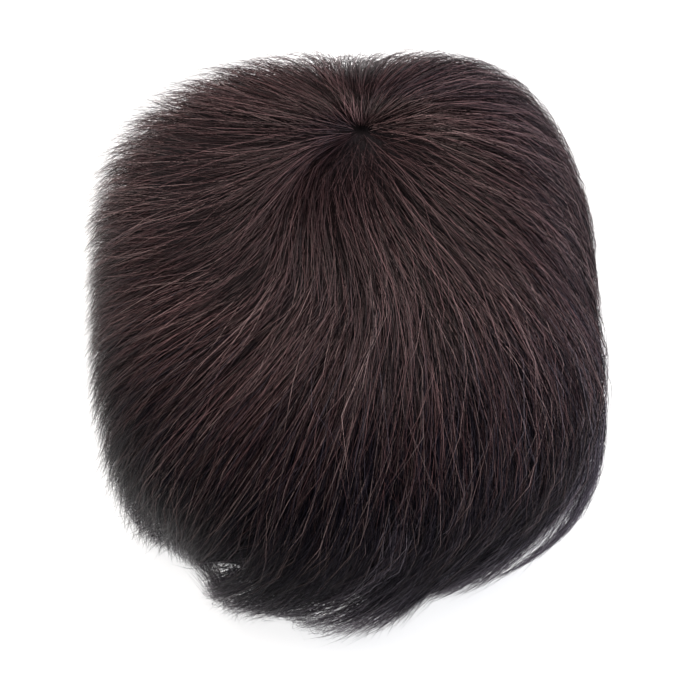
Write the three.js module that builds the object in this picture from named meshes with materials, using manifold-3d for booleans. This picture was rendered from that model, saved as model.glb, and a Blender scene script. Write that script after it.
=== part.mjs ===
// Short real-hair wig, in millimetres, +Z up, the face side towards -Y.
// A hollow net cap stands on its rim. Five sections of hair are tied to it: a crown that
// spreads from the whorl, a fringe, two sides and a nape. Each section is a mat of hair on
// the cap with tapered locks fused to it, and the locks' tips hang free round the hem.
import * as THREE from "three";
import { mergeVertices } from "three/addons/utils/BufferGeometryUtils.js";
import Module from "manifold-3d";

const wasm = await Module();
wasm.setup();
const radians = THREE.MathUtils.degToRad;
const fullTurn = 2 * Math.PI;

// Driving dimensions of the cap: the outside of its net wall.
const cap = {
  centreX: 0,
  centreY: 0,
  halfWidth: 79,
  halfLength: 95,
  height: 119,
  widestAt: 38, // height above the rim where the cap is widest
  rimTuck: 0.96, // share of the widest half-width left at the rim
  roundness: 2.3, // exponent of the dome: 2 is an ellipsoid, higher is squarer
  wall: 2,
};

// Driving dimensions of the hair's outside, before the reach of each bearing below.
const hair = {
  centreX: 4.8,
  centreY: -4,
  halfWidth: 100,
  halfLength: 116,
  height: 134,
  widestAt: 58,
  rimTuck: 0.9,
  roundness: 2.5,
};

// The whorl, a point of the scalp line that every lock starts from.
const whorl = new THREE.Vector3(6.7, 47, 130);

// How far the hair reaches and how far it swirls, by bearing round the wig: 0 is the wig's
// left hand side (+X), 90 the nape, 180 the other side, 270 the fringe.
// reach is a share of the dimensions above, and swirl is the turn from whorl to hem, in radians.
const bearingStep = 30;
const bearings = [
  { bearing: 0, reach: 0.94, swirl: 0.55 },
  { bearing: 30, reach: 1.0, swirl: 0.55 },
  { bearing: 60, reach: 1.09, swirl: 0.5 },
  { bearing: 90, reach: 0.99, swirl: 0.45 },
  { bearing: 120, reach: 1.04, swirl: 0.5 },
  { bearing: 150, reach: 1.09, swirl: 0.6 },
  { bearing: 180, reach: 1.03, swirl: 0.7 },
  { bearing: 210, reach: 0.99, swirl: 0.65 },
  { bearing: 240, reach: 0.95, swirl: 0.45 },
  { bearing: 270, reach: 0.95, swirl: 0.25 },
  { bearing: 300, reach: 0.9, swirl: 0.2 },
  { bearing: 330, reach: 0.98, swirl: 0.4 },
];

// Hair sections by bearing at the hem, in degrees. Each spans a whole number of middle locks.
const sections = [
  { name: "left_side_hair", from: -37.5, to: 52.5 },
  { name: "nape_hair", from: 52.5, to: 127.5 },
  { name: "right_side_hair", from: 127.5, to: 217.5 },
  { name: "fringe_hair", from: 217.5, to: 322.5 },
];

// Rows of locks, by share of the way from whorl to hem. perTurn counts the locks all round the
// wig, so the middle locks come up in the gaps between the crown's, and rings counts the
// cross-sections along a lock, between its root and its tip.
const lockRows = {
  crown: { root: 0.06, tip: 0.6, perTurn: 24, rings: 6 },
  middle: { root: 0.41, tip: 0.84, perTurn: 24, rings: 5 },
  hem: { root: 0.66, tip: 0.978, perTurn: 48, rings: 4 },
};
const lockShape = {
  fill: 0.92, // share of its spacing that a lock fills
  relief: 0.12, // height of its back over the mat, as a share of the hair's depth
  sunk: 0.05, // how far its edges lie in the mat, as a share of the hair's depth
  thick: 0.22, // height from underside to back, as a share of the hair's depth
  stagger: 0.018, // how much its tip falls short of or passes its row
};

// The mats of hair under the locks. Heights are shares of the hair's depth over the cap, and
// places are shares of the way from whorl to hem.
const mat = {
  sole: 0.07,
  top: 0.88,
  underCrown: 0.68, // height where the crown's locks lie on the other mats
  crownEnd: 0.4,
  crownClear: 0.52, // where the other mats start to rise past the crown's tips
  risen: 0.74, // where they are up to their full height
  hem: 0.945,
  dip: 0.7, // height of the crown's mat at the whorl
  dipEnd: 0.14, // where the dip at the whorl is full again
};
const seam = radians(0.55); // half the gap between neighbouring sections, as a turn about the wig

const crownColumns = 40;
const crownRows = 4;
const capColumns = 40;
const capRows = 8;
const matRows = 7;
const columnWidth = 10; // degrees of bearing for each column of a mat

// A column of the bearings table at any bearing, on a smooth cubic curve through its rows.
function atBearing(bearing, column) {
  const place = THREE.MathUtils.euclideanModulo(bearing, fullTurn) / radians(bearingStep);
  const row = Math.floor(place);
  const value = (i) => bearings[(row + i + bearings.length) % bearings.length][column];
  const low = value(0);
  const step = value(1) - low;
  const slopeBefore = (value(1) - value(-1)) / 2;
  const slopeAfter = (value(2) - low) / 2;
  const t = place - row;
  const bend = 3 * step - 2 * slopeBefore - slopeAfter;
  return low + t * (slopeBefore + t * (bend + t * (slopeBefore + slopeAfter - 2 * step)));
}

// A rounded dome that stands on z = 0 and closes over its centre.
function dome(size, reachAt) {
  const tucked = (1 - size.rimTuck ** size.roundness) ** (1 / size.roundness);
  const centre = new THREE.Vector3(size.centreX, size.centreY, size.widestAt);
  return {
    ...size,
    centre,
    above: size.height - size.widestAt,
    below: size.widestAt / tucked,
    reachAt,
    pole: whorl.clone().sub(centre).normalize(),
  };
}

// Distance across a dome in plan, from its axis to its widest line.
function planRadius(d, bearing) {
  const reach = d.reachAt(bearing);
  const across = Math.abs(Math.cos(bearing) / (d.halfWidth * reach)) ** d.roundness;
  const along = Math.abs(Math.sin(bearing) / (d.halfLength * reach)) ** d.roundness;
  return (across + along) ** (-1 / d.roundness);
}

// The point of a dome's surface that lies in a direction from its centre.
function onDome(d, direction) {
  const level = Math.hypot(direction.x, direction.y);
  const plan = level / planRadius(d, Math.atan2(direction.y, direction.x));
  const rise = Math.abs(direction.z) / (direction.z > 0 ? d.above : d.below);
  const length = (plan ** d.roundness + rise ** d.roundness) ** (-1 / d.roundness);
  return direction.clone().multiplyScalar(length).add(d.centre);
}

// The point of a dome that is a share of the way from the whorl (0) to the rim (1), on the
// great circle between the whorl's direction and the rim's.
function onFlow(d, bearing, share) {
  const reach = planRadius(d, bearing) * d.rimTuck;
  const rim = new THREE.Vector3(Math.cos(bearing) * reach, Math.sin(bearing) * reach, -d.widestAt);
  const arc = d.pole.angleTo(rim.normalize());
  const direction = d.pole.clone().multiplyScalar(Math.sin((1 - share) * arc));
  direction.addScaledVector(rim, Math.sin(share * arc)).normalize();
  return onDome(d, direction);
}

const capOutside = dome(cap, () => 1);
const capInside = dome(
  {
    ...cap,
    halfWidth: cap.halfWidth - cap.wall,
    halfLength: cap.halfLength - cap.wall,
    height: cap.height - cap.wall,
  },
  () => 1,
);
const hairOutside = dome(hair, (bearing) => atBearing(bearing, "reach"));

// A point in the hair: hemBearing names the line of growth by where it meets the hem, share is
// the way along it from whorl to hem, and depth runs from the cap (0) to the outside (1).
function inHair(hemBearing, share, depth) {
  const bearing = hemBearing + atBearing(hemBearing, "swirl") * (1 - share);
  return onFlow(capOutside, bearing, share).lerp(onFlow(hairOutside, bearing, share), depth);
}

// The four-sided faces of a grid of points, as triangles. With wraps, each row closes on itself.
function gridFaces(rows, columns, wraps, firstIndex) {
  const faces = [];
  for (let i = 0; i < rows - 1; i++) {
    for (let j = 0; j < (wraps ? columns : columns - 1); j++) {
      const a = firstIndex + i * columns + j;
      const b = firstIndex + i * columns + ((j + 1) % columns);
      faces.push(a, b, b + columns, a, b + columns, a + columns);
    }
  }
  return faces;
}

// A curved slab: a grid of points for its top, the same grid for its sole, and walls between
// their borders.
function slab(top, sole, wraps) {
  const rows = top.length;
  const columns = top[0].length;
  const half = rows * columns;
  const faces = gridFaces(rows, columns, wraps, 0);
  faces.push(...gridFaces(rows, columns, wraps, half).reverse());
  const border = (low, high) => faces.push(low, low + half, high + half, low, high + half, high);
  for (let j = 0; j < (wraps ? columns : columns - 1); j++) {
    const next = (j + 1) % columns;
    const last = (rows - 1) * columns;
    border(j, next);
    border(last + next, last + j);
  }
  for (let i = 0; i < rows - 1 && !wraps; i++) {
    const end = i * columns + columns - 1;
    border((i + 1) * columns, i * columns);
    border(end, end + columns);
  }
  return solidOf([...top.flat(), ...sole.flat()], faces);
}

// A spindle: closed rings of points, drawn in to a point at each end.
function spindle(rings, root, tip) {
  const columns = rings[0].length;
  const drawnIn = (point) => Array(columns).fill(point);
  const rows = [drawnIn(root), ...rings, drawnIn(tip)];
  return solidOf(rows.flat(), gridFaces(rows.length, columns, true, 0));
}

// Points and triangles as a closed solid that faces outwards. Triangles that a pole or a point
// has drawn in to nothing are dropped.
function solidOf(points, faces) {
  const position = new THREE.Float32BufferAttribute(points.flatMap((p) => p.toArray()), 3);
  const loose = new THREE.BufferGeometry().setAttribute("position", position).setIndex(faces);
  const merged = mergeVertices(loose, 1e-4);
  const corners = merged.index.array;
  const kept = [];
  for (let i = 0; i < corners.length; i += 3) {
    const [a, b, c] = corners.slice(i, i + 3);
    if (a !== b && b !== c && c !== a) kept.push(a, b, c);
  }
  const vertProperties = merged.getAttribute("position").array;
  const facing = (triVerts) => new wasm.Manifold(new wasm.Mesh({ numProp: 3, vertProperties, triVerts }));
  const made = facing(Uint32Array.from(kept));
  return made.volume() > 0 ? made : facing(Uint32Array.from(kept.reverse()));
}

// Several solids joined into one.
function fuse(solids) {
  return solids.reduce((whole, solid) => whole.add(solid));
}

// Evenly spaced numbers from low to high.
function spread(low, high, steps) {
  return Array.from({ length: steps + 1 }, (_, i) => THREE.MathUtils.lerp(low, high, i / steps));
}

// The net cap: the outside and inside domes joined by the flat rim it stands on.
function netCap() {
  const turn = spread(0, fullTurn, capColumns).slice(0, -1);
  const wall = (d) => spread(0, 1, capRows).map((share) => turn.map((bearing) => onFlow(d, bearing, share)));
  return slab(wall(capOutside), wall(capInside), true);
}

// Height of the crown's mat, sunk in at the whorl itself.
function crownTop(share) {
  return THREE.MathUtils.lerp(mat.dip, mat.top, THREE.MathUtils.smoothstep(share, 0, mat.dipEnd));
}

// Height of the other mats, lower where the crown's locks lie on them.
function sectionTop(share) {
  const clear = THREE.MathUtils.smoothstep(share, mat.crownClear, mat.risen);
  return THREE.MathUtils.lerp(mat.underCrown, mat.top, clear);
}

// A mat of hair over a grid of growth lines and shares, from its sole up to topAt each share.
function hairMat(hemBearings, shares, topAt, wraps) {
  const sheet = (depthAt) =>
    shares.map((share) => hemBearings.map((bearing) => inHair(bearing, share, depthAt(share))));
  return slab(sheet(topAt), sheet(() => mat.sole), wraps);
}

// One tapered lock along a line of growth: a flattened diamond section that comes up out of the
// mat at its root and narrows to its tip.
function lock(hemBearing, halfSpacing, row, tip, topAt) {
  const { fill, relief, sunk, thick } = lockShape;
  const shares = spread(row.root, tip, row.rings + 1);
  const rings = shares.slice(1, -1).map((share, i) => {
    const taper = 1 - ((i + 0.5) / (row.rings + 0.5)) ** 3.2;
    const back = topAt(share) + relief * Math.min(taper, (i + 1) / 2);
    const edge = topAt(share) - sunk;
    const half = halfSpacing * fill * taper;
    return [
      inHair(hemBearing, share, back),
      inHair(hemBearing + half, share, edge),
      inHair(hemBearing, share, back - thick),
      inHair(hemBearing - half, share, edge),
    ];
  });
  const root = inHair(hemBearing, row.root, topAt(row.root) - thick);
  return spindle(rings, root, inHair(hemBearing, tip, topAt(tip) - sunk));
}

// A row of locks between two bearings, in radians, with staggered tips.
function lockRow(from, to, row, topAt) {
  const count = Math.round(((to - from) / fullTurn) * row.perTurn);
  const spacing = (to - from) / count;
  return Array.from({ length: count }, (_, i) => {
    const tip = row.tip + lockShape.stagger * Math.sin(2.4 * i + 10 * row.root);
    return lock(from + (i + 0.5) * spacing, spacing / 2, row, tip, topAt);
  });
}

// The crown: a low dome round the whorl with a ring of locks that lie over the other sections.
function crown() {
  const turn = spread(0, fullTurn, crownColumns).slice(0, -1);
  const dome = hairMat(turn, spread(0, mat.crownEnd, crownRows), crownTop, true);
  return fuse([dome, ...lockRow(0, fullTurn, lockRows.crown, crownTop)]);
}

// A section between two lines of growth, in radians, with two rows of locks.
function section(from, to) {
  const across = spread(from, to, Math.round((to - from) / radians(columnWidth)));
  const backing = hairMat(across, spread(mat.crownEnd + seam, mat.hem, matRows), sectionTop, false);
  const rows = [lockRows.middle, lockRows.hem];
  return fuse([backing, ...rows.flatMap((row) => lockRow(from, to, row, sectionTop))]);
}

const hairMaterial = new THREE.MeshStandardMaterial({ color: 0x2a1f1f, roughness: 0.45, metalness: 0 });
const netMaterial = new THREE.MeshStandardMaterial({ color: 0x1b1716, roughness: 0.9, metalness: 0 });

// A solid as a named mesh.
function piece(name, solid, material) {
  const made = solid.getMesh();
  const geometry = new THREE.BufferGeometry();
  geometry.setAttribute("position", new THREE.BufferAttribute(made.vertProperties, 3));
  geometry.setIndex(new THREE.BufferAttribute(made.triVerts, 1));
  geometry.computeVertexNormals();
  const mesh = new THREE.Mesh(geometry, material);
  mesh.name = name;
  return mesh;
}

const wig = new THREE.Group();
wig.add(piece("net_cap", netCap(), netMaterial));
wig.add(piece("crown_hair", crown(), hairMaterial));
for (const { name, from, to } of sections) {
  wig.add(piece(name, section(radians(from) + seam, radians(to) - seam), hairMaterial));
}

export default wig;
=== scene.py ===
import bpy
import numpy as np
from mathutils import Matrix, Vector


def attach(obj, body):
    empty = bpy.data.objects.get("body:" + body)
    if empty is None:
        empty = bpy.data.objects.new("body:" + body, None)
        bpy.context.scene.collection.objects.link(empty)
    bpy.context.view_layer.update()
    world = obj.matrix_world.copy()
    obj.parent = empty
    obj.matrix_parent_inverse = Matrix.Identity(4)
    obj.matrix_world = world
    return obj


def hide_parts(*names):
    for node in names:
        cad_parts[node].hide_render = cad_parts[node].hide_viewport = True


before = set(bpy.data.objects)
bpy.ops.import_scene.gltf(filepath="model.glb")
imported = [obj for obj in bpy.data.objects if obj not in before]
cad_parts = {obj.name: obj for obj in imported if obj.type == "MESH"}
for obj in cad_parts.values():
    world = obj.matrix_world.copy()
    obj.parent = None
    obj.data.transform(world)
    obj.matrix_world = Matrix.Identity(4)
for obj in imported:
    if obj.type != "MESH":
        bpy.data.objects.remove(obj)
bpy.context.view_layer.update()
print("frame loaded:", ", ".join(sorted(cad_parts)))

mm = 0.001
fullTurn = 2 * np.pi

# camera, in mm: in front of the wig and high above it, aimed a little below the crown
view = {"place": (4.2, -233.8, 471.4), "aim": (2.5, -6.0, 48.9), "lens": 60.9, "sensor": 36}
cameraData = bpy.data.cameras.new("camera")
cameraData.lens = view["lens"]
cameraData.sensor_width = view["sensor"]
camera = bpy.data.objects.new("camera", cameraData)
camera.location = Vector(view["place"]) * mm
camera.rotation_euler = (Vector(view["aim"]) - Vector(view["place"])).to_track_quat("-Z", "Y").to_euler()
bpy.context.collection.objects.link(camera)
bpy.context.scene.camera = camera
bpy.context.scene.view_settings.view_transform = "Standard"


# sRGB hex colour to linear red, green, blue and alpha, by the standard sRGB curve
def linear(hexColour):
    srgb = np.array([int(hexColour[i:i + 2], 16) for i in (1, 3, 5)]) / 255
    flat = np.where(srgb <= 0.04045, srgb / 12.92, ((srgb + 0.055) / 1.055) ** 2.4)
    return (*flat.tolist(), 1.0)


# one node with its settings; a link value is another node's output socket
def addNode(tree, kind, links=(), inputs=(), **settings):
    node = tree.nodes.new(kind)
    for name, value in settings.items():
        setattr(node, name, value)
    for name, value in dict(inputs).items():
        node.inputs[name].default_value = value
    for name, socket in dict(links).items():
        tree.links.new(socket, node.inputs[name])
    return node


def newMaterial(name):
    material = bpy.data.materials.new(name)
    material.use_nodes = True
    material.node_tree.nodes.clear()
    return material, material.node_tree


def setRamp(node, stops):
    ramp = node.color_ramp
    while len(ramp.elements) < len(stops):
        ramp.elements.new(0.5)
    for element, (position, colour) in zip(ramp.elements, stops):
        element.position = position
        element.color = linear(colour)


# human hair, dark brown: nearly black in the mass, with single pale hairs, partly their own colour and
# partly a painted highlight
hairLook = {
    # tints below a half are warm, those above it are cool, painted shade of the front and the hem, paler at
    # the top for pale hairs and painted light on the hem's tips
    "tints": [(0.0, "#0a0607"), (0.2, "#2e1e20"), (0.4, "#5f4748"), (0.499, "#9c8886"),
              (0.501, "#05060b"), (0.7, "#12111a"), (0.9, "#433e46"), (1.0, "#867f88")],
    # painted shade towards the roots
    "rootShade": 0.62,  # brightness at the root, beside the tip's
    "shadeEnd": 0.6,  # share of the strand at which that shade ends
    "roughness": 0.34,
    "ior": 1.55,
    "gloss": 0.29,
    # gloss of the shaded copy: painted shade
    "shadedGloss": 0.05,
    "glossTint": "#e8dcda",
}


def makeHairMaterial(name, gloss):
    material, tree = newMaterial(name)
    tint = addNode(tree, "ShaderNodeAttribute", attribute_name="tint")
    along = addNode(tree, "ShaderNodeAttribute", attribute_name="along")
    ramp = addNode(tree, "ShaderNodeValToRGB", {"Fac": tint.outputs["Fac"]})
    setRamp(ramp, hairLook["tints"])
    # painted shade, darker towards the root
    shade = addNode(tree, "ShaderNodeMapRange", {"Value": along.outputs["Fac"]},
                    {"From Max": hairLook["shadeEnd"], "To Min": hairLook["rootShade"], "To Max": 1.0})
    colour = addNode(tree, "ShaderNodeVectorMath", {0: ramp.outputs["Color"], 1: shade.outputs["Result"]},
                     operation="MULTIPLY")
    surface = addNode(tree, "ShaderNodeBsdfPrincipled", {"Base Color": colour.outputs["Vector"]},
                      {"Roughness": hairLook["roughness"], "IOR": hairLook["ior"],
                       "Specular IOR Level": gloss, "Specular Tint": linear(hairLook["glossTint"])})
    addNode(tree, "ShaderNodeOutputMaterial", {"Surface": surface.outputs["BSDF"]})
    return material


humanHair = makeHairMaterial("human hair", hairLook["gloss"])
# a shaded copy of the hair with little gloss, painted shade: for the cool hair of the front and the hem,
# and the darkest strands everywhere
glossShadedHair = makeHairMaterial("human hair, shaded copy with little gloss", hairLook["shadedGloss"])

# human hair seen deep between the strands: the same hair in shade, as streaks along the growth
underLook = {
    "streak": 0.6,  # mm across, several real hairs side by side, so that a streak shows
    "narrowing": 0.04,  # width of a streak beside its length
    "detail": 3.0,
    "grain": 0.6,
    "colours": [(0.35, "#060405"), (0.7, "#130d10")],
    "bump": 0.6,
    "relief": 0.4,  # mm
    "roughness": 0.9,
    "gloss": 0.1,
}
underHair, tree = newMaterial("human hair in shade")
flow = addNode(tree, "ShaderNodeUVMap", uv_map="growth")
stretch = addNode(tree, "ShaderNodeMapping", {"Vector": flow.outputs["UV"]},
                  {"Scale": (1 / underLook["streak"], underLook["narrowing"] / underLook["streak"], 1)})
streak = addNode(tree, "ShaderNodeTexNoise", {"Vector": stretch.outputs["Vector"]},
                 {"Scale": 1.0, "Detail": underLook["detail"], "Roughness": underLook["grain"]})
ramp = addNode(tree, "ShaderNodeValToRGB", {"Fac": streak.outputs["Fac"]})
setRamp(ramp, underLook["colours"])
bump = addNode(tree, "ShaderNodeBump", {"Height": streak.outputs["Fac"]},
               {"Strength": underLook["bump"], "Distance": underLook["relief"] * mm})
surface = addNode(tree, "ShaderNodeBsdfPrincipled",
                  {"Base Color": ramp.outputs["Color"], "Normal": bump.outputs["Normal"]},
                  {"Roughness": underLook["roughness"], "IOR": hairLook["ior"],
                   "Specular IOR Level": underLook["gloss"]})
addNode(tree, "ShaderNodeOutputMaterial", {"Surface": surface.outputs["BSDF"]})

# knitted polyester net: thin crossing threads with small gaps, matt
netLook = {
    "spacing": 1.6,  # mm, twice that of real net, so that the net shows
    "slant": np.pi / 4,
    "unevenness": 0.15,
    "thread": (0.08, 0.2),  # distances from a cell's edge, in spacings, over which a thread falls off
    "colours": [(0.0, "#0f0c0b"), (1.0, "#2c2523")],  # gap, thread
    "bump": 0.8,
    "relief": 0.25,  # mm
    "roughness": 0.85,
    "ior": 1.5,
}
knittedNet, tree = newMaterial("knitted polyester net")
flow = addNode(tree, "ShaderNodeUVMap", uv_map="growth")
turned = addNode(tree, "ShaderNodeMapping", {"Vector": flow.outputs["UV"]},
                 {"Rotation": (0, 0, netLook["slant"]), "Scale": (1 / netLook["spacing"],) * 3})
cells = addNode(tree, "ShaderNodeTexVoronoi", {"Vector": turned.outputs["Vector"]},
                {"Scale": 1.0, "Randomness": netLook["unevenness"]}, feature="DISTANCE_TO_EDGE")
thread = addNode(tree, "ShaderNodeMapRange", {"Value": cells.outputs["Distance"]},
                 {"From Min": netLook["thread"][0], "From Max": netLook["thread"][1],
                  "To Min": 1.0, "To Max": 0.0})
ramp = addNode(tree, "ShaderNodeValToRGB", {"Fac": thread.outputs["Result"]})
setRamp(ramp, netLook["colours"])
bump = addNode(tree, "ShaderNodeBump", {"Height": thread.outputs["Result"]},
               {"Strength": netLook["bump"], "Distance": netLook["relief"] * mm})
surface = addNode(tree, "ShaderNodeBsdfPrincipled",
                  {"Base Color": ramp.outputs["Color"], "Normal": bump.outputs["Normal"]},
                  {"Roughness": netLook["roughness"], "IOR": netLook["ior"]})
addNode(tree, "ShaderNodeOutputMaterial", {"Surface": surface.outputs["BSDF"]})
print("materials made")

# the two domes in mm, the same as the solids: the cap's outside and the hair's outside
capShape = {"centre": (0, 0), "half": (79, 95), "height": 119, "widest": 38, "tuck": 0.96, "roundness": 2.3}
hairShape = {"centre": (4.8, -4), "half": (100, 116), "height": 134, "widest": 58, "tuck": 0.9,
             "roundness": 2.5}
whorl = np.array((6.7, 47, 130))
headMiddle = np.array((*hairShape["centre"], 40.0))  # a strand's outer side faces away from here
combEnd = 0.4  # share of the way to the hem at which the turn near the whorl has faded
# by bearing in steps of 30 degrees: 0 is +X, 90 the nape, 180 the other side, 270 the fringe
byBearing = {
    # plan size beside the dome's half sizes
    "reach": (0.94, 1.0, 1.09, 0.99, 1.04, 1.09, 1.03, 0.99, 0.95, 0.95, 0.9, 0.98),
    # radians: turn from whorl to hem, turn back again near the whorl alone, further turn at the hem
    "swirl": (0.55, 0.55, 0.5, 0.45, 0.6, 0.8, 1.0, 0.9, 0.6, 0.2, 0.1, 0.35),
    "comb": (-0.1, 0, 0, 0, 0, 0, 0, -0.3, -0.45, -0.2, -0.15, -0.15),
    "sweep": (0.1, 0.05, 0.05, 0.05, 0.05, 0.1, 0.1, 0.12, 0.2, 0.3, 0.15, 0.15),
    # 0 lies flat and 1 stands off; height of the tips that stand above the rest
    "lift": (0.1, 0.15, 0.2, 0.3, 0.6, 0.9, 1.0, 0.9, 0.5, 0.25, 0.1, 0.05),
    "crest": (0.01, 0.07, 0.16, 0.26, 0.18, 0.31, 0.12, 0.08, 0.04, 0, 0.1, 0.05),
    # painted shade round the whorl and away from it, painted light where that shade is below zero, and
    # painted light on the hem's tips
    "crownShade": (0.25, 0.55, 0.6, 0.55, 0.4, 0.3, 0.3, 0.7, 1.0, 0.75, 0.35, 0.2),
    "shade": (0.3, 0.6, 0.4, 0.1, 0, 0, 0.2, 0.8, 1.0, 0.55, -0.15, -0.3),
    "hemLight": (0.2, 0, 0, 0, 0, 0, 0, 0.2, 0.55, 0.75, 0.95, 0.9),
    # share of hair in painted shade, cool and dark, towards the front and the hem
    "coolShade": (0.8, 0.5, 0.3, 0.1, 0.1, 0.1, 0.2, 0.65, 0.9, 1.0, 1.0, 1.0),
}


def unit(vectors):
    return vectors / np.linalg.norm(vectors, axis=-1, keepdims=True)


def mix(low, high, share):
    return low + (high - low) * share


# smooth step from 0 to 1: three squares less two cubes of the share
def ease(low, high, value):
    share = np.clip((value - low) / (high - low), 0, 1)
    return share * share * (3 - 2 * share)


# a column of the bearings table on a smooth cubic curve through its rows
def atBearing(column, bearing):
    values = np.array(byBearing[column])
    rows = len(values)
    along = np.mod(bearing, fullTurn) / (fullTurn / rows)
    row = np.floor(along).astype(int)
    before, low, high, after = (values[(row + i) % rows] for i in (-1, 0, 1, 2))
    t, slopeBefore, slopeAfter = along - row, (high - before) / 2, (after - low) / 2
    bend = 3 * (high - low) - 2 * slopeBefore - slopeAfter
    return low + t * (slopeBefore + t * (bend + t * (slopeBefore + slopeAfter - 2 * (high - low))))


# plan radius of a dome: a superellipse of its half sizes, times the reach for the hair
def planRadius(shape, bearing):
    reach = atBearing("reach", bearing) if shape is hairShape else 1.0
    power = shape["roundness"]
    across = np.abs(np.cos(bearing) / (shape["half"][0] * reach)) ** power
    return (across + np.abs(np.sin(bearing) / (shape["half"][1] * reach)) ** power) ** (-1 / power)


# point of a dome in a direction from its centre: plan share and height share on one superellipse
def onDome(shape, direction):
    power = shape["roundness"]
    above = shape["height"] - shape["widest"]
    below = shape["widest"] / (1 - shape["tuck"] ** power) ** (1 / power)
    level = np.hypot(direction[..., 0], direction[..., 1])
    plan = level / planRadius(shape, np.arctan2(direction[..., 1], direction[..., 0]))
    rise = np.abs(direction[..., 2]) / np.where(direction[..., 2] > 0, above, below)
    length = (plan ** power + rise ** power) ** (-1 / power)
    return direction * length[..., None] + np.array((*shape["centre"], shape["widest"]))


# point a share of the way from whorl (0) to rim (1), on the great circle between the two directions
def onFlow(shape, bearing, share):
    pole = unit(whorl - np.array((*shape["centre"], shape["widest"])))
    reach = planRadius(shape, bearing) * shape["tuck"]
    rim = unit(np.stack((np.cos(bearing) * reach, np.sin(bearing) * reach,
                         np.full_like(reach, -shape["widest"])), -1))
    arc = np.arccos(np.clip(rim @ pole, -1, 1))
    turned = np.sin((1 - share) * arc)[..., None] * pole + np.sin(share * arc)[..., None] * rim
    return onDome(shape, unit(turned))


# point in the hair: the blend by depth, from cap (0) to outside (1), of a point on each dome
# a line of growth has its bearing at the hem as its label, and turns back from there to the whorl
def inHair(label, share, depth):
    bearing = label + atBearing("swirl", label) * (1 - share)
    bearing += atBearing("comb", label) * (1 - ease(0, combEnd, share))
    return mix(onFlow(capShape, bearing, share), onFlow(hairShape, bearing, share), depth[..., None])


# quads between the rows of a grid of points, closed round each row where it wraps
def gridQuads(rows, columns, wraps=False):
    i, j = np.meshgrid(np.arange(rows - 1), np.arange(columns if wraps else columns - 1), indexing="ij")
    k = (j + 1) % columns
    return np.stack((i * columns + j, i * columns + k, (i + 1) * columns + k, (i + 1) * columns + j),
                    -1).reshape(-1, 4)


# closed slab from two grids of the same size: both skins, and walls between their borders
def slab(top, sole, wraps=False):
    rows, columns = top.shape[:2]
    half = rows * columns
    index = np.arange(half).reshape(rows, columns)
    edges = [(index[-1], 1), (index[0], -1)]
    if not wraps:
        edges += [(index[:, 0], 1), (index[:, -1], -1)]
    skins = gridQuads(rows, columns, wraps)
    faces = [skins[:, ::-1], skins + half]
    for edge, way in edges:
        first, second = edge, np.roll(edge, -1)
        if not (wraps and edge.size == columns):
            first, second = edge[:-1], edge[1:]
        wall = np.stack((first, second, second + half, first + half), -1)
        faces.append(wall[:, ::-way])
    return np.concatenate((top.reshape(-1, 3), sole.reshape(-1, 3))), np.concatenate(faces)


# three-sided tubes along many paths at once: rings square to the path, drawn to a point at the tip
def tubes(paths, radius, roll):
    count, steps = paths.shape[:2]
    rings = steps - 1
    tangent = unit(np.gradient(paths, axis=1))
    side = unit(np.cross(tangent, unit(paths - headMiddle)))
    up = np.cross(side, tangent)
    angle = (roll[:, None] + np.arange(3) * fullTurn / 3)[:, None, :, None]
    swing = np.cos(angle) * side[:, :-1, None] + np.sin(angle) * up[:, :-1, None]
    hoops = paths[:, :-1, None] + radius[:, :-1, None, None] * swing
    points = np.concatenate((hoops.reshape(count, -1, 3), paths[:, -1:]), 1)
    first = np.arange(count)[:, None, None] * (3 * rings + 1)
    quads = (first + gridQuads(rings, 3, True)[None]).reshape(-1, 4)
    last = 3 * (rings - 1)
    ends = np.array([[last, last + 1, last + 3], [last + 1, last + 2, last + 3], [last + 2, last, last + 3],
                     [2, 1, 0]])
    return points.reshape(-1, 3), quads, (first + ends[None]).reshape(-1, 3)


# a mesh object from arrays in mm, with its faces' materials, point attributes and corner maps
def meshObject(name, points, faceSets, materials, attributes=(), maps=()):
    corners = np.concatenate([faces.ravel() for faces, _ in faceSets]).astype(np.int32)
    sizes = np.concatenate([np.full(len(faces), faces.shape[1]) for faces, _ in faceSets])
    starts = np.concatenate(([0], np.cumsum(sizes)[:-1])).astype(np.int32)
    slots = np.concatenate([np.full(len(faces), slot) for faces, slot in faceSets]).astype(np.int32)
    mesh = bpy.data.meshes.new(name)
    mesh.vertices.add(len(points))
    mesh.vertices.foreach_set("co", (points * mm).astype(np.float32).ravel())
    mesh.loops.add(len(corners))
    mesh.loops.foreach_set("vertex_index", corners)
    mesh.polygons.add(len(sizes))
    mesh.polygons.foreach_set("loop_start", starts)
    mesh.polygons.foreach_set("material_index", slots)
    for label, values in dict(attributes).items():
        mesh.attributes.new(label, "FLOAT", "POINT").data.foreach_set("value", values.astype(np.float32))
    for label, places in dict(maps).items():
        mesh.uv_layers.new(name=label).data.foreach_set("uv", places[corners].astype(np.float32).ravel())
    for material in materials:
        mesh.materials.append(material)
    mesh.update(calc_edges=True)
    mesh.validate()
    mesh.shade_smooth()
    made = bpy.data.objects.new(name, mesh)
    bpy.context.collection.objects.link(made)
    return made


# each piece rides on the one body and stands in for its solid
def place(piece, node):
    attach(piece, "root")
    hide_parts(node)
    triangles = sum(len(face.vertices) - 2 for face in piece.data.polygons)
    print(f"{piece.name}: {triangles} triangles")


# net cap: a slab between two domes, from a pinhole at the whorl down to the rim
netCap = {
    "wall": 2.0,  # mm
    "columns": 128,
    "rows": 44,
    "pinhole": 0.004,  # share of the way to the rim
    "netSize": (85, 190),  # mm of net for each radian, and from whorl to rim
}


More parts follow.
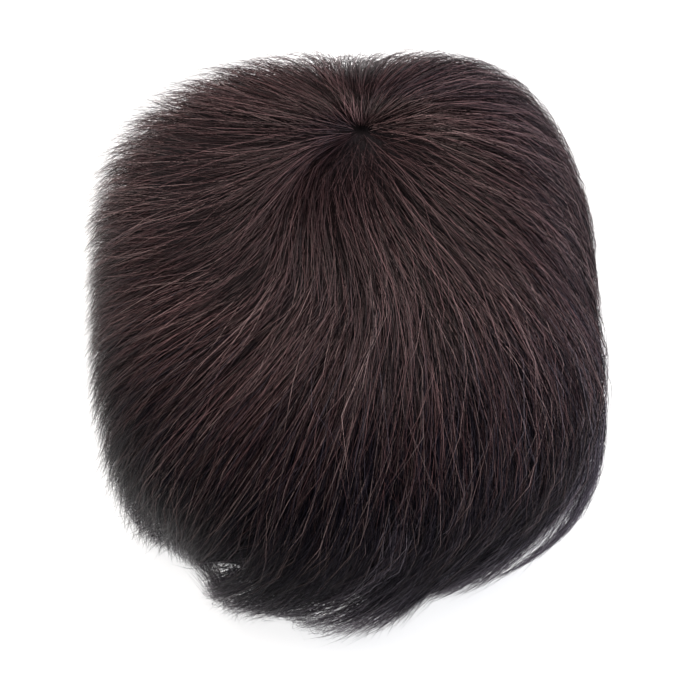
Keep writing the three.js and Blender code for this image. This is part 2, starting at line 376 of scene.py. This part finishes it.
def makeCap():
    inner = {**capShape, "half": tuple(half - netCap["wall"] for half in capShape["half"]),
             "height": capShape["height"] - netCap["wall"]}
    bearing, share = np.meshgrid(np.linspace(0, fullTurn, netCap["columns"], endpoint=False),
                                 np.linspace(netCap["pinhole"], 1, netCap["rows"]))
    points, faces = slab(onFlow(capShape, bearing, share), onFlow(inner, bearing, share), True)
    net = np.stack((bearing, share), -1).reshape(-1, 2) * netCap["netSize"]
    netMap = {"growth": np.concatenate((net, net))}
    return meshObject("netCap", points, [(faces, 0)], [knittedNet], maps=netMap)


place(makeCap(), "net_cap")

# hair: shares are of the way from whorl to hem, depths of the way from cap to outside
# sections: bearings in degrees, where the roots lie, usual length and reach of the mat underneath as shares
# a bias below 1 sets more of the roots away from the whorl
crown = {"from": 0, "to": 360, "strands": 8600, "roots": (0.012, 0.42), "bias": 0.8, "length": 0.4,
         "mat": (0.0, 0.46)}
lowerHair = {"strands": 8500, "roots": (0.3, 0.88), "bias": 1.0, "mat": (0.36, 0.95)}
leftSide = {**lowerHair, "from": -37.5, "to": 52.5, "length": 0.4}
nape = {**lowerHair, "from": 52.5, "to": 127.5, "length": 0.38}
rightSide = {**lowerHair, "from": 127.5, "to": 217.5, "length": 0.36}
fringe = {**lowerHair, "from": 217.5, "to": 322.5, "length": 0.42}

whorlDip = {"depth": 0.8, "end": 0.12}


# sinking of the hair round the whorl: depth left there, eased to the whole as far as the end
def dipAt(share):
    return mix(whorlDip["depth"], 1.0, ease(0, whorlDip["end"], share))


# bell curve over a label: e to the minus square of its distance, the short way round, over the half width
def bell(label, bearing, width):
    off = np.mod(label - np.radians(bearing) + np.pi, fullTurn) - np.pi
    return np.exp(-(off / np.radians(width)) ** 2)


# locks of the hem that stand out (+) or fall short (-): bearing and half width in degrees, change of depth
hemLocks = {"bearing": (224, 230, 238, 247, 263, 274, 281, 290, 299), "width": (6, 4, 5, 6, 5, 3, 5, 4, 3),
            "out": (0.18, -0.35, -0.55, 0.1, 0.15, 0.02, -0.55, -0.1, -0.08)}
hemLockShares = (0.66, 0.88)  # where a lock begins and is full


# shift of depth by the locks of the hem: the sum of their bell curves
def hemShift(label, share):
    shift = np.zeros_like(share)
    for bearing, width, out in zip(*hemLocks.values()):
        shift += out * bell(label, bearing, width)
    return shift * ease(*hemLockShares, share)


# hollows of the hem, where most hair falls back from a thin outer lock and the floor shows between the two:
# bearing and half width in degrees, part of the depth that is lost, share of the strands that stay outside
# and the depth at which they gather
hollows = {"bearing": (269, 309), "width": (2.5, 13), "drop": (0.4, 0.33), "kept": (0.25, 0.15),
           "outside": (0.95, 1.17)}
hollowShares = (0.57, 0.71)  # where a hollow begins and is full
gatherShares = (0.66, 0.86)  # the same for the strands outside
gatherSpread = 0.2  # part of their spread of depths that is left


# depth after the hollows: it falls back, but a strand whose choice is below the kept share gathers outside
def hollowed(label, share, depth, choice):
    begun = ease(*hollowShares, share)
    for bearing, width, drop, kept, outside in zip(*hollows.values()):
        part = bell(label, bearing, width) * begun
        gathered = mix(1, outside, ease(*gatherShares, share)) + gatherSpread * (depth - 1)
        depth = np.where(choice < kept, mix(depth, gathered, part), depth * (1 - drop * part))
    return depth


# partings of the hem: bearing and half gap in degrees, where each opens, share of the strands that cross it
partings = {"bearing": (250, 288), "gap": (2.6, 2.4), "opens": (0.6, 0.72), "crossing": (0.18, 0.15)}
partingRun = 0.12  # share of the way over which a parting opens
partingReach = 4  # width of the hair that gives way, beside the gap


# label pushed away from the partings: the distance from one becomes the long side over distance and gap
def parted(label, share, choice):
    for bearing, gap, opens, crossing in zip(*partings.values()):
        off = label - np.radians(bearing)
        width = np.radians(gap) * ease(opens, opens + partingRun, share)
        width = width * bell(label, bearing, partingReach * gap)
        label = label + np.sign(off) * (np.hypot(off, width * (choice > crossing)) - np.abs(off))
    return label


# the thin place behind the whorl, where short pale hairs show: bearings in degrees, the rest as shares
thinPlace = {"middle": 105, "half": 24, "root": 0.05, "length": 0.05, "share": 0.3}
# roots, lengths and kinds of strands
sowing = {
    "seed": 11,
    "steps": (0.7548777, 0.5698403),  # of the plastic ratio: the fractions of their multiples spread evenly
    # pale hairs: partly their own tint, partly a painted highlight
    "glints": 0.14,  # share of pale hairs
    "flyaways": (0.012, 0.042),  # share of hairs that stray, in flat hair and in hair that stands off
    "lengths": (0.65, 1.3),  # spread of the lengths
    "liftedLength": 0.7,  # length of hair that stands off, beside flat hair
    "shortest": 0.1,
    "clump": (0.06, 0.12),  # spacing of the clumps, in radians and as a share
    "clumpWaves": (127.1, 311.7),  # so fast that each clump gets a shift of its own
    "clumpShift": 0.35,
    "lock": 0.09,  # spacing of the hem's locks in radians
    "lockBlur": 0.15,  # in locks
    "lockStep": 0.618034,  # of the golden ratio, for the locks' uneven ends
    "lockRagged": (0.04, 0.08),  # spread of the locks' ends, at the back and in front
    "tipRagged": (0.06, 0.1),  # spread of single tips, at the back and in front
    "front": 0.6,  # sine of the bearing, towards the face, from which hair counts wholly as the front
}


# where the strands of a section root and end, and of what kind, clump and lock each is
def sowStrands(section, chance):
    count = section["strands"]
    scatter = np.mod(np.arange(count)[:, None] * sowing["steps"] + chance.random(2), 1)
    label = np.radians(mix(section["from"], section["to"], scatter[:, 0]))
    root = mix(*section["roots"], scatter[:, 1] ** section["bias"])
    lift = atBearing("lift", label)
    front = ease(0, sowing["front"], -np.sin(label))
    glint = chance.random(count) < sowing["glints"]
    flyaway = chance.random(count) < mix(*sowing["flyaways"], lift)
    length = section["length"] * mix(1.0, sowing["liftedLength"], lift)
    length *= chance.uniform(*sowing["lengths"], count)
    clump = np.floor(np.stack((label, root), -1) / sowing["clump"] + 0.5)
    shift = np.sin(clump @ np.array(sowing["clumpWaves"])) * sowing["clumpShift"]
    lock = np.floor(label / sowing["lock"] + sowing["lockBlur"] * chance.normal(0, 1, count))
    uneven = mix(*sowing["lockRagged"], front) * np.mod(lock * sowing["lockStep"], 1)
    longest = 1.0 - uneven - mix(*sowing["tipRagged"], front) * chance.random(count) ** 2
    tip = np.minimum(root + length, longest)
    root = np.minimum(root, tip - sowing["shortest"])
    thin = np.abs(np.degrees(label) - thinPlace["middle"]) < thinPlace["half"]
    thin &= (root < thinPlace["root"]) & (chance.random(count) < thinPlace["share"])
    tip = np.where(thin, root + thinPlace["length"], tip)
    return {"label": label, "root": root, "tip": tip, "lift": lift, "front": front, "glint": glint,
            "flyaway": flyaway, "thin": thin, "clump": clump[:, 0], "shift": shift, "lock": lock}


# depths of the strands; pairs are for flat hair and for hair that stands off, or for the back and the front
rising = {
    "lowTop": (0.76, 0.95),  # the tips lie between these two
    "highTop": (1.02, 1.09),
    "clumpRise": 0.25,  # how far a clump's own shift raises its tips
    "crest": (0.6, 1.0),  # spread of the crest's height
    "flyaway": (0.03, 0.12),  # height of hairs that stray, above the rest
    "whorlStart": 0.95,  # depth of the roots at the whorl
    "start": (0.5, 0.32),  # and elsewhere
    "startShares": (0.02, 0.25),  # roots over which the start changes from the whorl's to the rest's
    "power": (2.6, 1.1),  # bend of the rise
    "kick": 0.3,  # outward turn at the hem, by lock and by strand
    "kickStep": 0.754878,  # of the plastic ratio, for the locks' uneven kicks
    "kickBack": 0.3,  # taken off, so that some locks turn in instead
    "kickSize": (0.6, 1.1),
    "kickShares": (0.64, 0.92),
}


# rise along a strand: flat hair bends over early, hair that stands off goes nearly straight
def riseAt(steps, lift):
    flatPower, liftedPower = rising["power"]
    return mix(1 - (1 - steps) ** flatPower, steps ** liftedPower, lift[:, None])


# depth along the strands: from a start in the mat to a top by the outside, with a kick at the hem
def strandDepth(strand, steps, share, chance):
    count, lift, lock = len(share), strand["lift"], strand["lock"]
    lowTop, highTop = mix(*rising["lowTop"], lift), mix(*rising["highTop"], lift)
    top = mix(lowTop, highTop, np.sqrt(chance.random(count))) + rising["clumpRise"] * lift * strand["shift"]
    top += atBearing("crest", strand["label"]) * chance.uniform(*rising["crest"], count)
    top += strand["flyaway"] * chance.uniform(*rising["flyaway"], count)
    away = ease(*rising["startShares"], strand["root"])
    start = mix(rising["whorlStart"], mix(*rising["start"], lift), away)
    depth = mix(start[:, None], top[:, None], riseAt(steps, lift)) * dipAt(share)
    kick = chance.random(count) ** 2 + np.mod(lock * rising["kickStep"], 1) - rising["kickBack"]
    kick = rising["kick"] * kick * mix(*rising["kickSize"], strand["front"])
    return depth + kick[:, None] * ease(*rising["kickShares"], share) * steps ** 2


# turns of the strands from their lines of growth, in radians
bending = {
    "pull": 0.4,  # lean towards the clump's middle
    "liftedPull": 1.3,  # the same where hair stands off, beside flat hair
    "stray": 0.07,  # spread of the single strands
    "looseStray": 2.0,  # the same for pale hairs and hairs that stray, beside the rest
    "napeStray": 1.5,  # added at the nape, beside the rest
    "nape": (0.7, 1.0),  # sine of the bearing, towards the nape
    "power": 1.3,  # bend of the lean
    "wave": 0.02,
    "waveSpread": 0.7,
    "waveTurns": (0.4, 1.1),
    "whorlSpread": 0.3,  # so that no single point shows at the whorl
    "whorlEnd": 0.16,  # share at which that has faded
    "lockPull": 0.8,  # lean towards the lock's middle at the hem
    "lockShares": (0.72, 1.0),
    "lockUneven": 0.3,  # shift of the locks' middles, in locks
    "lockTurn": 2.4,  # radians of that shift's wave, from lock to lock
    "sweepShares": (0.7, 1.0),
}


# way of the strands: at each step, the label of the line of growth that it lies on
def strandWay(strand, steps, share, chance):
    count, label, lock = len(share), strand["label"], strand["lock"]
    clumpMiddle = (strand["clump"] + strand["shift"]) * sowing["clump"][0]
    pull = bending["pull"] * mix(1, bending["liftedPull"], strand["lift"])
    lean = (clumpMiddle - label) * pull * chance.uniform(0.0, 1.0, count)
    stray = chance.normal(0, bending["stray"], count)
    stray *= np.where(strand["flyaway"] | strand["glint"], bending["looseStray"], 1.0)
    stray *= 1 + bending["napeStray"] * ease(*bending["nape"], np.sin(label))
    waveSize = bending["wave"] * np.exp(bending["waveSpread"] * chance.normal(0, 1, (count, 1)))
    turns = steps * chance.uniform(*bending["waveTurns"], (count, 1)) + chance.random((count, 1))
    wave = waveSize * np.sin(fullTurn * turns)
    way = label[:, None] + (lean + stray)[:, None] * steps ** bending["power"] + wave * steps
    way += chance.normal(0, bending["whorlSpread"], (count, 1)) * (1 - ease(0, bending["whorlEnd"], share))
    lockMiddle = (lock + 0.5 + bending["lockUneven"] * np.sin(lock * bending["lockTurn"])) * sowing["lock"]
    return way + (lockMiddle - label)[:, None] * bending["lockPull"] * ease(*bending["lockShares"], share)


# tints of the strands, on the scale of the hair's look, with painted shade and painted light by place;
# shares are those of a strand's middle, unless named
tinting = {
    "glint": (0.8, 1.0),
    "plain": 0.8,
    "plainPower": 2.6,  # most plain hairs are dark
    "crownShade": 0.5,  # tint left in full shade
    "crownShares": (0.14, 0.4),
    "shade": 0.4,
    "shadeShares": (0.36, 0.66),
    "hemTips": (0.8, 0.95),
    "hemRoots": (0.4, 0.62),
    "coolShadeShares": (0.36, 0.7),
    "warmEnd": 0.998,  # keeps the palest warm tint apart from the darkest cool one
    # painted shade: the darkest strands take the shaded copy with little gloss
    "glossShaded": 0.08,  # darker hair than this has little gloss
}


# tint of each strand, warm below a half and cool above it, with painted shade and painted light by place,
# and whether it takes the shaded copy with little gloss
def tintStrands(strand, chance):
    label, root, tip = strand["label"], strand["root"], strand["tip"]
    count, middle = len(label), (root + tip) / 2
    pale = chance.uniform(*tinting["glint"], count)
    plain = tinting["plain"] * chance.random(count) ** tinting["plainPower"]
    tint = np.where(strand["glint"] | strand["thin"], pale, plain)
    # painted shade near the whorl and away from it, by bearing
    crownShade = atBearing("crownShade", label) * (1 - ease(*tinting["crownShares"], middle))
    tint *= mix(1, tinting["crownShade"], crownShade)
    tint *= mix(1, tinting["shade"], atBearing("shade", label) * ease(*tinting["shadeShares"], middle))
    # painted light on the hem's tips
    tint += atBearing("hemLight", label) * ease(*tinting["hemTips"], tip) * ease(*tinting["hemRoots"], root)
    # painted shade: cool dark tints towards the front and the hem
    coolShade = chance.random(count) < atBearing("coolShade", label) * ease(*tinting["coolShadeShares"], middle)
    glossShaded = coolShade | (tint < tinting["glossShaded"])
    return (np.minimum(tint, 1) * tinting["warmEnd"] + coolShade) / 2, glossShaded


# strands as tubes: widths in mm, two or three real hairs side by side, so that a strand shows
strandShape = {
    "rings": 4,
    "width": 0.2,
    "looseWidth": 0.15,  # pale hairs and hairs that stray
    "widths": (0.75, 1.15),  # spread of the widths
    "taper": 0.7,  # part of the width that is lost towards the tip
    "lowest": 0.6,  # mm above the floor
}


# paths of a section's strands, each a line of growth that rises from the mat to the outside as it runs
def growStrands(section, chance):
    strand = sowStrands(section, chance)
    root, tip = strand["root"][:, None], strand["tip"][:, None]
    steps = np.linspace(0, 1, strandShape["rings"] + 1)
    share = root + (tip - root) * steps
    depth = strandDepth(strand, steps, share, chance)
    way = strandWay(strand, steps, share, chance)
    choice = chance.random((len(share), 1))
    depth = hollowed(way, share, depth, choice)
    way = parted(way, share, choice)
    way -= atBearing("sweep", strand["label"])[:, None] * ease(*bending["sweepShares"], share)
    depth += hemShift(way, share) * riseAt(steps, strand["lift"])
    paths = inHair(way, share, depth)
    paths[..., 2] = np.maximum(paths[..., 2], strandShape["lowest"])
    loose = strand["glint"] | strand["flyaway"]
    width = np.where(loose, strandShape["looseWidth"], strandShape["width"])
    width *= chance.uniform(*strandShape["widths"], len(share))
    radius = width[:, None] / 2 * (1 - strandShape["taper"] * steps ** 3)
    return paths, radius, steps, *tintStrands(strand, chance)


# mat of shaded hair under the strands, thin at its lower and upper borders
hairMat = {
    "cell": 2.5,  # degrees
    "seam": 0.55,  # degrees left free beside the next section
    "rows": 16,
    "pinhole": 0.004,
    "top": 0.6,  # depths
    "sole": 0.07,
    "thinning": 0.45,
    "lowerBorder": 0.85,  # shares of the mat's own run
    "upperBorder": 0.18,
    "liftFill": 0.1,  # depth added where the hair stands off, and under the crest
    "crestFill": 0.3,
    "fillShares": (0.14, 0.42),
    "streakSize": (100, 200),  # mm of streaks for each radian, and from whorl to hem
}
# hollow in the mat alone, behind the wide parting: degrees, part of the depth that is lost, and shares
matHollow = {"bearing": 246, "width": 4.5, "drop": 0.75, "shares": (0.54, 0.68)}


# a section's mat: a slab from a depth near the cap to one under the strands; also its bearings and shares
def makeMat(section):
    wraps = section is crown
    seam = 0.0 if wraps else hairMat["seam"]
    columns = int((section["to"] - section["from"]) / hairMat["cell"])
    across = np.linspace(section["from"] + seam, section["to"] - seam, columns, endpoint=not wraps)
    bearing, run = np.meshgrid(np.radians(across), np.linspace(hairMat["pinhole"], 1, hairMat["rows"]))
    share = mix(*section["mat"], run)
    height = hairMat["top"] * dipAt(share) - hairMat["thinning"] * ease(hairMat["lowerBorder"], 1, run)
    fill = hairMat["liftFill"] * atBearing("lift", bearing)
    fill += hairMat["crestFill"] * atBearing("crest", bearing)
    height += fill * ease(*hairMat["fillShares"], share)
    if not wraps:
        height -= hairMat["thinning"] * (1 - ease(0, hairMat["upperBorder"], run))
    height = hollowed(bearing, share, height, 1.0)
    lost = matHollow["drop"] * bell(bearing, matHollow["bearing"], matHollow["width"])
    height *= 1 - lost * ease(*matHollow["shares"], share)
    sole = np.full_like(share, hairMat["sole"])
    points, faces = slab(inHair(bearing, share, height), inHair(bearing, share, sole), wraps)
    return points, faces, np.stack((bearing, share), -1).reshape(-1, 2)


# baking map: strands of one tint share a strip, and the mat's two skins have fields of their own
bakeMap = {"strips": 200, "strandWidth": 0.7, "sides": (0.0, 0.3, 0.6), "tip": 0.3,
           "matWidth": 0.13, "matLeft": (0.72, 0.86), "margin": 0.01}


# places on the baking map: a strand by its tint across and its run upwards, a mat's skin as its grid lies
def bakePlaces(tint, along, count, matGrid):
    tall = 1 - 2 * bakeMap["margin"]
    across = np.tile(np.append(np.tile(bakeMap["sides"], strandShape["rings"]), bakeMap["tip"]), count)
    strip = np.floor(tint * (bakeMap["strips"] - 1)) + across
    strip = strip / bakeMap["strips"] * bakeMap["strandWidth"]
    places = [np.stack((strip, along * tall + bakeMap["margin"]), -1)]
    flat = (matGrid - matGrid.min(0)) / np.ptp(matGrid, axis=0)
    for left in bakeMap["matLeft"]:
        places.append(flat * (bakeMap["matWidth"], tall) + (left, bakeMap["margin"]))
    return np.concatenate(places)


# one hair piece: a mat of shaded hair with strands over it, joined in one mesh
def makeHair(name, section, number):
    chance = np.random.default_rng(sowing["seed"] + number)
    paths, radius, steps, tint, glossShaded = growStrands(section, chance)
    count = len(paths)
    points, quads, ends = tubes(paths, radius, chance.uniform(0, fullTurn, count))
    faceSets = []
    for slot, chosen in ((0, ~glossShaded), (1, glossShaded)):
        for faces in (quads, ends):
            sides = faces.shape[1]
            faceSets.append((faces.reshape(count, -1, sides)[chosen].reshape(-1, sides), slot))
    tint = np.repeat(tint, len(points) // count)
    along = np.tile(np.append(np.repeat(steps[:-1], 3), 1.0), count)

    matPoints, matFaces, matGrid = makeMat(section)
    streaks = matGrid * hairMat["streakSize"]
    growth = np.concatenate((np.zeros((len(points), 2)), streaks, streaks))
    noTint = np.zeros(len(matPoints))
    return meshObject(
        name, np.concatenate((points, matPoints)),
        faceSets + [(matFaces + len(points), 2)], [humanHair, glossShadedHair, underHair],
        {"tint": np.append(tint, noTint), "along": np.append(along, noTint)},
        {"growth": growth, "OFBake": bakePlaces(tint, along, count, matGrid)})


place(makeHair("crownHair", crown, 1), "crown_hair")
place(makeHair("leftSideHair", leftSide, 2), "left_side_hair")
place(makeHair("napeHair", nape, 3), "nape_hair")
place(makeHair("rightSideHair", rightSide, 4), "right_side_hair")
place(makeHair("fringeHair", fringe, 5), "fringe_hair")

# floor: a plain pale sheet of white acrylic, lit from below as a light table is, half size in mm
floorLook = {"colour": "#7c7c7c", "roughness": 0.9, "glowColour": "#ffffff", "glow": 0.85, "half": 3000}
floorMaterial, tree = newMaterial("white acrylic sheet")
surface = addNode(tree, "ShaderNodeBsdfPrincipled", (), {
    "Base Color": linear(floorLook["colour"]), "Roughness": floorLook["roughness"],
    "Emission Color": linear(floorLook["glowColour"]), "Emission Strength": floorLook["glow"]})
addNode(tree, "ShaderNodeOutputMaterial", {"Surface": surface.outputs["BSDF"]})
floorMaterial.cycles.emission_sampling = "NONE"
floorCorners = np.array([(-1, -1, 0), (1, -1, 0), (1, 1, 0), (-1, 1, 0)], float) * floorLook["half"]
floor = meshObject("floor", floorCorners, [(np.array([[0, 1, 2, 3]]), 0)], [floorMaterial])

# studio light: a broad panel overhead, one at each side and a dim room
# places in mm, sizes in m, power in W
lights = {
    "overhead": {"place": (0, 250, 1300), "size": 1.1, "power": 50.0, "colour": "#fff6f0"},
    "leftPanel": {"place": (-1100, 150, 600), "size": 0.9, "power": 11.0, "colour": "#fff4ee"},
    "rightPanel": {"place": (1100, 150, 600), "size": 0.9, "power": 16.0, "colour": "#dde6ff"},
}
roomLight = {"colour": "#e6ebff", "strength": 0.15}
for name, lamp in lights.items():
    lampData = bpy.data.lights.new(name, "AREA")
    lampData.size = lamp["size"]
    lampData.energy = lamp["power"]
    lampData.color = linear(lamp["colour"])[:3]
    panel = bpy.data.objects.new(name, lampData)
    panel.location = Vector(lamp["place"]) * mm
    panel.rotation_euler = (-panel.location).to_track_quat("-Z", "Y").to_euler()
    bpy.context.collection.objects.link(panel)
room = bpy.data.worlds.new("room")
room.use_nodes = True
background = room.node_tree.nodes["Background"]
background.inputs["Color"].default_value = linear(roomLight["colour"])
background.inputs["Strength"].default_value = roomLight["strength"]
bpy.context.scene.world = room
print("floor and lights made")
